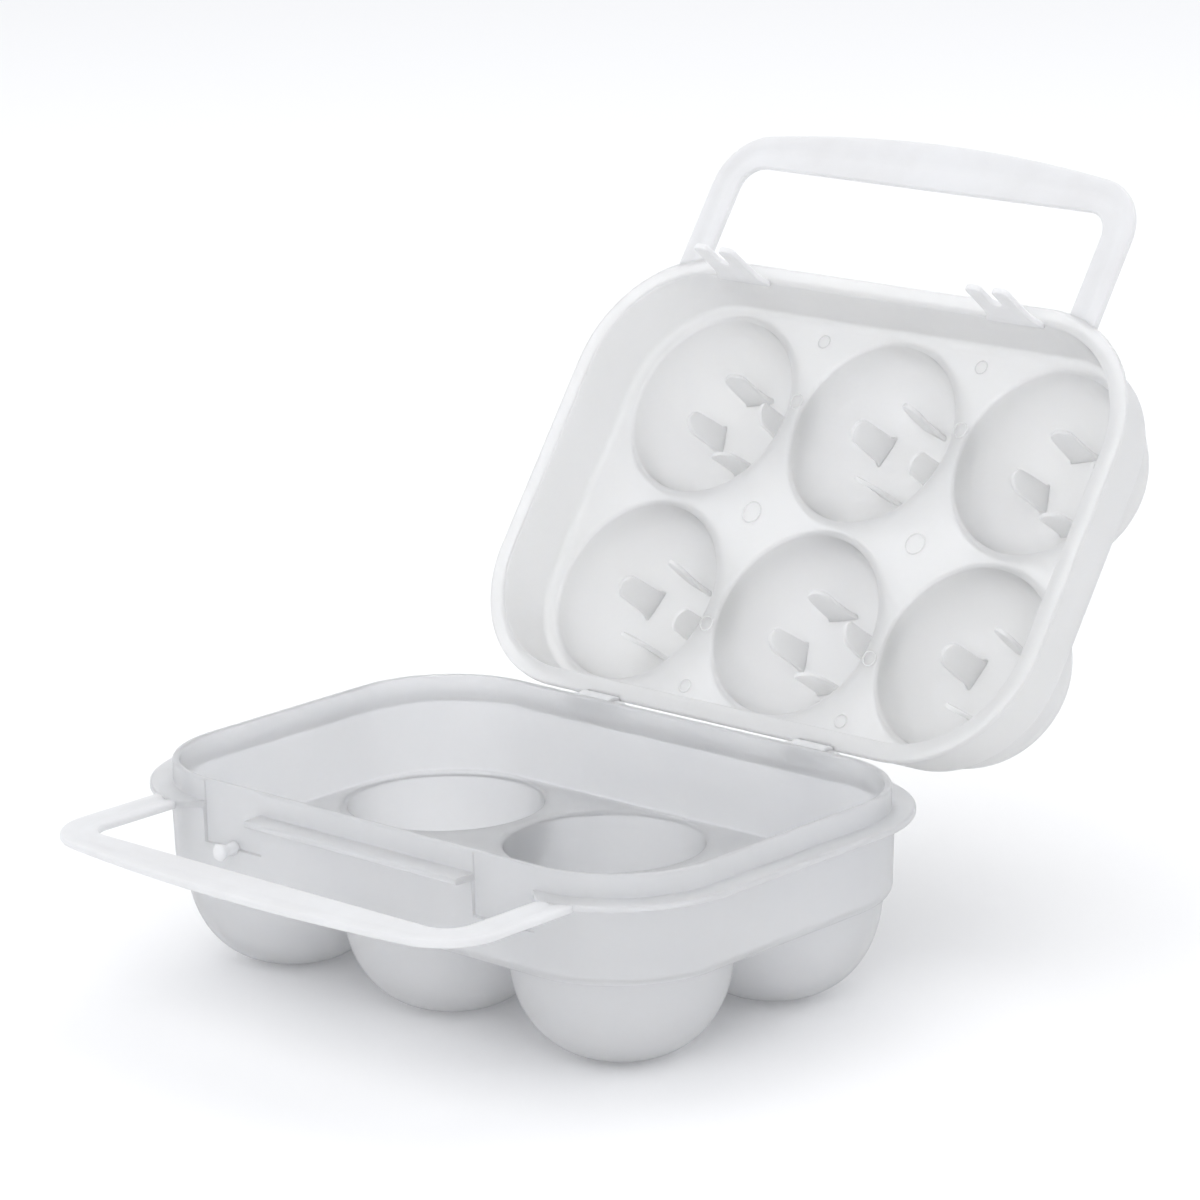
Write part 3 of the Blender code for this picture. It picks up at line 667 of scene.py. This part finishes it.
def make_finger(name, cup, angle):
    """A thin tongue that stands in a lid cup, with a round end and a slight curl."""
    length, root_half, tip_half, sunk = 0.0116, 0.0032, 0.0028, 0.0014  # half: half the width
    root_thick, thinner, most_curl, most_corner = 0.00056, 0.00012, 0.0009, 0.00022
    straight = length - tip_half
    stations = [(-sunk, root_half + 0.0010), (-sunk * 0.4, root_half + 0.0003), (0.0003, root_half)]
    stations += [(straight * s, root_half + (tip_half - root_half) * s)
                 for s in (0.25, 0.5, 0.75, 1.0)]
    stations += [(straight + tip_half * math.sin(t), tip_half * math.cos(t))
                 for t in (math.radians(d) for d in (18, 36, 52, 66, 77, 84))]
    sections = []
    for along, half in stations:
        share = max(0.0, along) / length
        thick = root_thick - thinner * share
        curl = most_curl * share ** 2
        corner = min(most_corner, half * 0.5)
        front = [(-half, -thick + corner), (-half + corner, -thick), (-half * 0.4, -thick),
                 (half * 0.4, -thick), (half - corner, -thick), (half, -thick + corner)]
        back = [(across, -through) for across, through in reversed(front)]
        sections.append([(across, along, through + curl) for across, through in front + back])
    place = (Matrix.Translation((cup[0] + FINGER_OUT * math.cos(angle),
                                 cup[1] + FINGER_OUT * math.sin(angle), FINGER_ROOT_Z))
             @ Matrix.Rotation(angle - QUARTER, 4, "Z") @ Matrix.Rotation(-QUARTER, 4, "X"))
    bm = bmesh.new()
    loft(bm, [[place @ Vector(p) for p in section] for section in sections])
    # the finger's material carries painted light: a whiter copy of the same plastic
    add_piece(name + "_moulding", bm, "lid", [name], LID_PLACE, FINGER_STUFF_PAINTED_LIGHT, sharp=50)


# ---------------------------------------------------------------- studio

def make_floor():
    """A wide pale floor under the carrier."""
    bm = bmesh.new()
    half_size = 12.0
    bmesh.ops.create_grid(bm, x_segments=8, y_segments=8, size=half_size)
    mesh = bpy.data.meshes.new("floor")
    bm.to_mesh(mesh)
    bm.free()
    floor = bpy.data.objects.new("floor", mesh)
    bpy.context.scene.collection.objects.link(floor)
    material = bpy.data.materials.new("pale_floor")
    material.use_nodes = True
    shader = material.node_tree.nodes["Principled BSDF"]
    shader.inputs["Base Color"].default_value = (0.93, 0.93, 0.935, 1.0)
    shader.inputs["Roughness"].default_value = 0.85
    shader.inputs["Specular IOR Level"].default_value = 0.1
    mesh.materials.append(material)


def add_light(name, place, target, size, power, colour):
    """A rectangular soft lamp at `place` that faces `target`."""
    data = bpy.data.lights.new(name, "AREA")
    data.shape = "RECTANGLE"
    data.size, data.size_y = size
    data.energy = power
    data.color = colour
    lamp = bpy.data.objects.new(name, data)
    bpy.context.scene.collection.objects.link(lamp)
    lamp.location = place
    lamp.rotation_mode = "QUATERNION"
    lamp.rotation_quaternion = (Vector(target) - Vector(place)).to_track_quat("-Z", "Y")


def make_studio():
    """The floor, an even white surround and four soft lamps."""
    make_floor()
    world = bpy.data.worlds.new("studio")
    bpy.context.scene.world = world
    world.use_nodes = True
    sky = world.node_tree.nodes["Background"]
    sky.inputs["Color"].default_value = (0.97, 0.98, 1.0, 1.0)
    sky.inputs["Strength"].default_value = 0.94
    middle = (0.0, 0.0, 0.06)
    add_light("overhead", (-0.25, 0.25, 1.30), middle, (1.1, 1.1), 3.6, (1.0, 0.99, 0.97))
    add_light("side", (-1.1, -0.35, 0.65), middle, (0.8, 0.8), 1.4, (0.96, 0.98, 1.0))
    add_light("front", (0.55, -1.10, 0.60), (0.0, 0.05, 0.08), (1.2, 1.2), 3.6, (1.0, 1.0, 1.0))
    add_light("behind", (0.75, 1.15, 0.75), middle, (0.9, 0.7), 1.8, (1.0, 1.0, 1.0))


def make_camera():
    """A long lens that looks down a little, over the tray's front right corner."""
    stand = (0.664144, -0.723101, 0.334975)
    yaw, pitch, roll = (math.radians(d) for d in (-42.663, -14.863, -1.157))
    forward = Vector((math.sin(yaw) * math.cos(pitch), math.cos(yaw) * math.cos(pitch),
                      math.sin(pitch)))
    level = Vector((math.cos(yaw), -math.sin(yaw), 0.0))
    upright = level.cross(forward)
    right = math.cos(roll) * level + math.sin(roll) * upright
    up = math.cos(roll) * upright - math.sin(roll) * level
    data = bpy.data.cameras.new("camera")
    data.lens = 147.78
    data.sensor_width = 36.0
    data.clip_start, data.clip_end = 0.05, 60.0
    camera = bpy.data.objects.new("camera", data)
    bpy.context.scene.collection.objects.link(camera)
    turn = Matrix((right, up, -forward)).transposed().to_4x4()
    camera.matrix_world = Matrix.Translation(stand) @ turn
    bpy.context.scene.camera = camera


# ---------------------------------------------------------------- everything

make_camera()
make_tray()
make_lid()
make_ejector_rings()
make_handle("base_handle", "tray", TRAY_PLACE, RIM_Z - HANDLE_SHIFT, 1)
make_handle("lid_handle", "lid", LID_PLACE, LID_BASE_Z + HANDLE_SHIFT, -1)
for word, sign in (("left", -1), ("right", 1)):
    make_peg(f"latch_peg_{word}", sign * LATCH_X)
    make_claw(f"latch_claw_{word}", sign * LATCH_X)
    make_bracket(f"hinge_bracket_{word}", sign * HINGE_X)
    make_hook(f"hinge_hook_{word}", sign * HINGE_X)
turn = -FINGER_TURN
for row, row_sign in ROWS.items():
    for column, column_sign in COLUMNS.items():
        for number in range(FINGERS_PER_CUP):
            make_finger(f"finger_{row}_{column}_{number + 1}",
                        (column_sign * PITCH_X, row_sign * PITCH_Y / 2), turn + QUARTER * number)
        turn = -turn
make_studio()
bpy.context.scene.view_settings.view_transform = "Standard"
